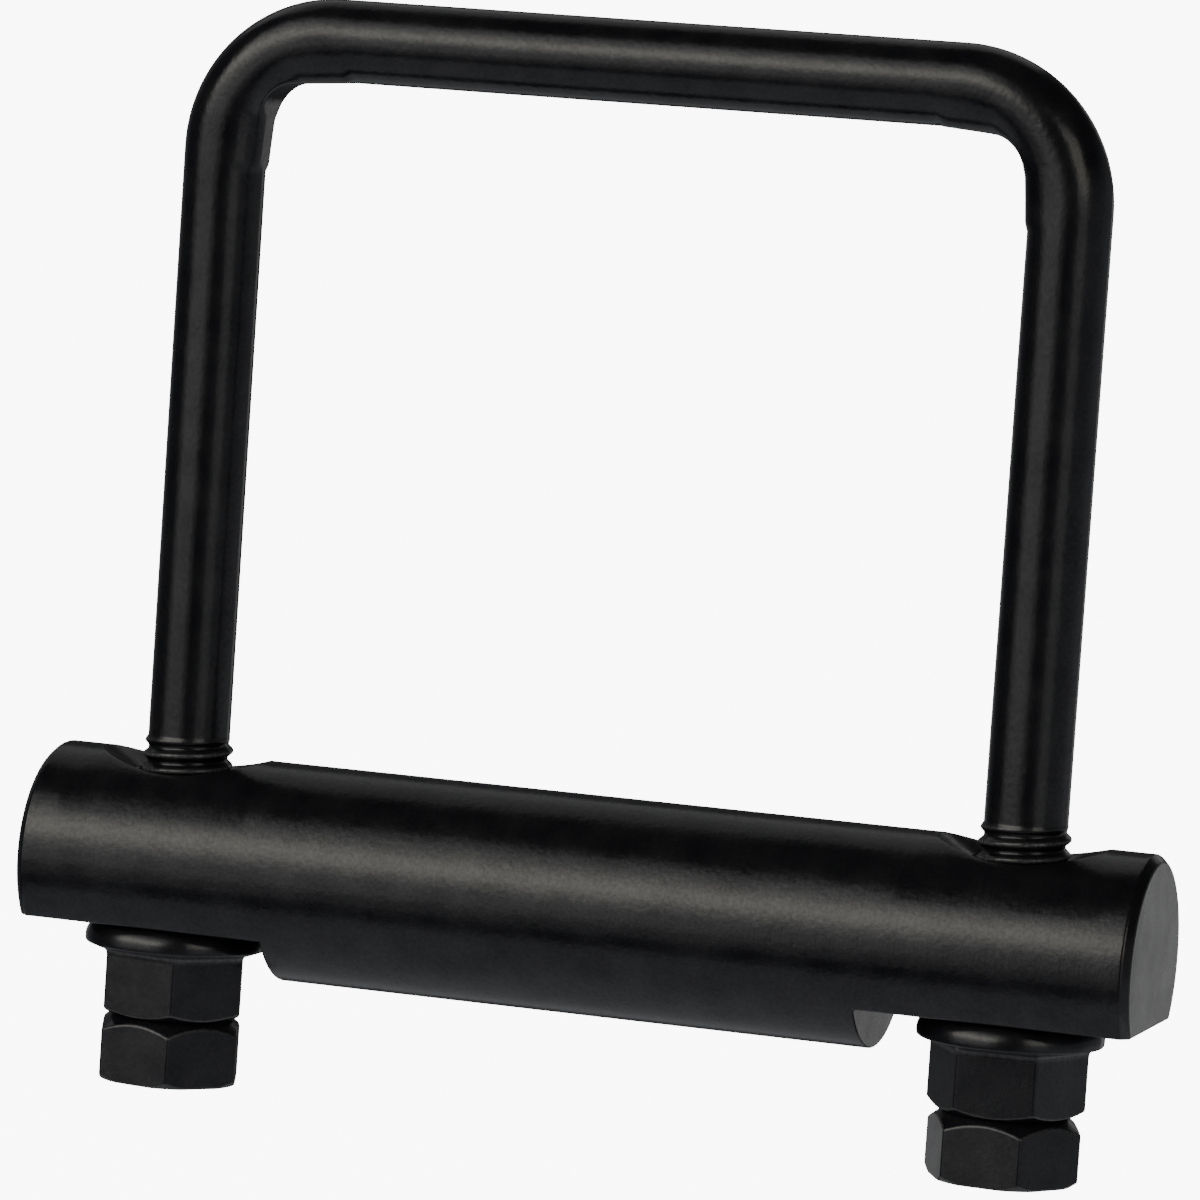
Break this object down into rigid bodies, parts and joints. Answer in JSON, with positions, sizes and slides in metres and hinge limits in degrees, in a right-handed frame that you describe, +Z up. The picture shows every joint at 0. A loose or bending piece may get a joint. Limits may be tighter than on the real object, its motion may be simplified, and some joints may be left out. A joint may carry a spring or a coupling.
{
  "type": "u-bolt clamp",
  "caption": "Square-bend U-bolt with a round crossbar held on its threaded legs by flange nuts, each locked by a plain nut.",
  "frame": {"origin": "centred between the legs, on the plane of the lock nuts' undersides", "axes": "X runs along the crossbar, Z runs up the legs from the nuts to the bolt's top, Y is square to the U's plane"},
  "size_m": [0.117, 0.0222, 0.1121],
  "materials": {
    "rod": "satin black coat on steel",
    "bar": "satin black coat on steel",
    "nuts": "satin black coat on steel"
  },
  "bodies": {
    "u_bolt": {"u_bolt": "rod"},
    "crossbar": {"crossbar": "bar"},
    "flange_nut_left": {"flange_nut_left": "nuts"},
    "flange_nut_right": {"flange_nut_right": "nuts"},
    "lock_nut_left": {"lock_nut_left": "nuts"},
    "lock_nut_right": {"lock_nut_right": "nuts"}
  },
  "joints": [
    {"name": "crossbar_slide", "type": "slide", "parent": "u_bolt", "child": "crossbar", "axis": [0, 0, 1], "range_m": [0, 0.01588]},
    {"name": "flange_nut_left_turn", "type": "hinge", "parent": "crossbar", "child": "flange_nut_left", "pos_m": [-0.04445, 0, 0.0118], "axis": [0, 0, 1], "range_deg": [-1, 3601]},
    {"name": "flange_nut_right_turn", "type": "hinge", "parent": "crossbar", "child": "flange_nut_right", "pos_m": [0.04445, 0, 0.0118], "axis": [0, 0, 1], "range_deg": [-1, 3601]},
    {"name": "lock_nut_left_back_off", "type": "slide", "parent": "flange_nut_left", "child": "lock_nut_left", "axis": [0, 0, -1], "range_m": [0, 0.00317]},
    {"name": "lock_nut_right_back_off", "type": "slide", "parent": "flange_nut_right", "child": "lock_nut_right", "axis": [0, 0, -1], "range_m": [0, 0.00317]}
  ],
  "couplings": [
    {"joint": "flange_nut_left_turn", "follows": "crossbar_slide", "rad_per_m": 3957.9},
    {"joint": "flange_nut_right_turn", "follows": "crossbar_slide", "rad_per_m": 3957.9}
  ]
}
